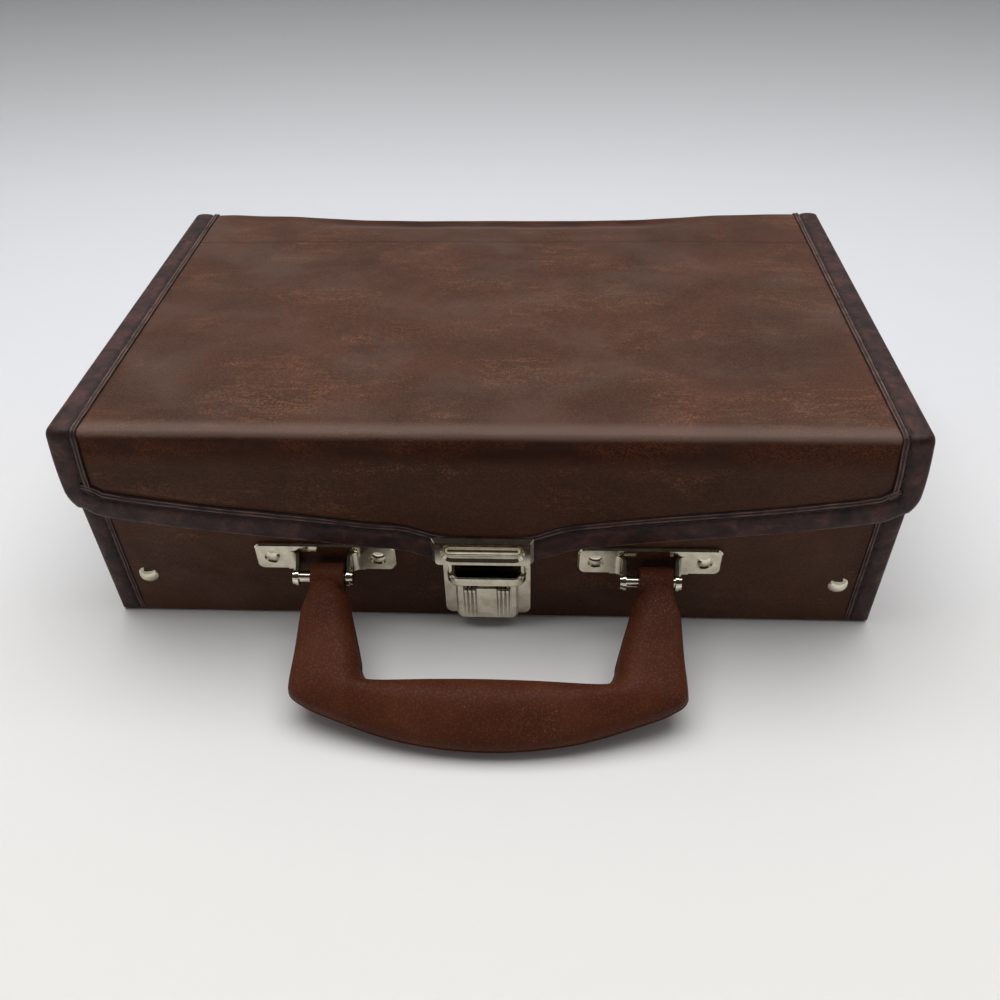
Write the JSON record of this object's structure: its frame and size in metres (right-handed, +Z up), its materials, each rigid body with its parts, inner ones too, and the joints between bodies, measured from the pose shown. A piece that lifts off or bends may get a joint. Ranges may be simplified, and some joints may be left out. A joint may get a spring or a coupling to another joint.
{
  "type": "cassette case",
  "caption": "Hard leatherette-covered carrying case with bound edges, a hinged lid and front flap, a slide lock and a fold-down handle, with slots for cassettes inside.",
  "frame": {"origin": "centre of the base, on the surface that the case stands on", "axes": "+X to the right along the front, +Y from the lock to the back hinge, +Z up"},
  "size_m": [0.3, 0.2504, 0.0925],
  "materials": {
    "leatherette": "embossed leatherette, satin",
    "binding": "smooth binding tape, semi-gloss",
    "fibreboard": "pressed fibreboard",
    "lining": "flocked paper lining",
    "rack_card": "die-cut greyboard",
    "nickel": "nickel-plated pressed steel",
    "handle_plastic": "leather-grained moulded plastic"
  },
  "bodies": {
    "case_body": {"body_cover": "leatherette", "front_board": "fibreboard", "bottom_board": "fibreboard", "back_board": "fibreboard", "body_lining": "lining", "left_side_cover": "leatherette", "right_side_cover": "leatherette", "left_side_board": "fibreboard", "right_side_board": "fibreboard", "left_side_lining": "lining", "right_side_lining": "lining", "left_body_binding": "binding", "right_body_binding": "binding", "rim_tape": "binding", "left_rack_end": "rack_card", "right_rack_end": "rack_card", "front_rack_rail": "rack_card", "rear_rack_rail": "rack_card", "rack_dividers": "rack_card", "corner_rivets": "nickel", "corner_washers": "nickel", "left_handle_bracket": "nickel", "right_handle_bracket": "nickel", "bracket_rivets": "nickel", "bracket_washers": "nickel", "left_handle_pin": "nickel", "right_handle_pin": "nickel", "lock_housing": "nickel", "lock_backing_plate": "nickel", "lock_spring": "nickel", "hinge_cover": "leatherette", "hinge_tape": "binding"},
    "lid": {"lid_cover": "leatherette", "lid_board": "fibreboard", "lid_lining": "lining", "left_lid_binding": "binding", "right_lid_binding": "binding", "crease_cover": "leatherette", "crease_tape": "binding"},
    "flap": {"flap_cover": "leatherette", "flap_board": "fibreboard", "flap_lining": "lining", "flap_binding": "binding", "hasp_plate": "nickel", "hasp_tongue": "nickel"},
    "thumb": {"thumb_piece": "nickel", "lock_slide": "nickel"},
    "handle": {"handle_upper_shell": "handle_plastic", "handle_lower_shell": "handle_plastic"}
  },
  "joints": [
    {"name": "lid_hinge", "type": "hinge", "parent": "case_body", "child": "lid", "pos_m": [0, 0.08893, 0.09143], "axis": [-1, 0, 0], "range_deg": [0, 190], "deforming": ["hinge_cover", "hinge_tape"]},
    {"name": "flap_hinge", "type": "hinge", "parent": "lid", "child": "flap", "pos_m": [0, -0.09244, 0.09164], "axis": [-1, 0, 0], "range_deg": [0, 150], "deforming": ["crease_cover", "crease_tape"]},
    {"name": "handle_swing", "type": "hinge", "parent": "case_body", "child": "handle", "pos_m": [0, -0.098, 0.029], "axis": [-1, 0, 0], "range_deg": [0, 100]},
    {"name": "thumb_slide", "type": "slide", "parent": "case_body", "child": "thumb", "axis": [0, 0, -1], "range_m": [0, 0.0035], "stiffness_N_per_m": 300, "springref_m": -0.002, "deforming": ["lock_spring"]}
  ]
}
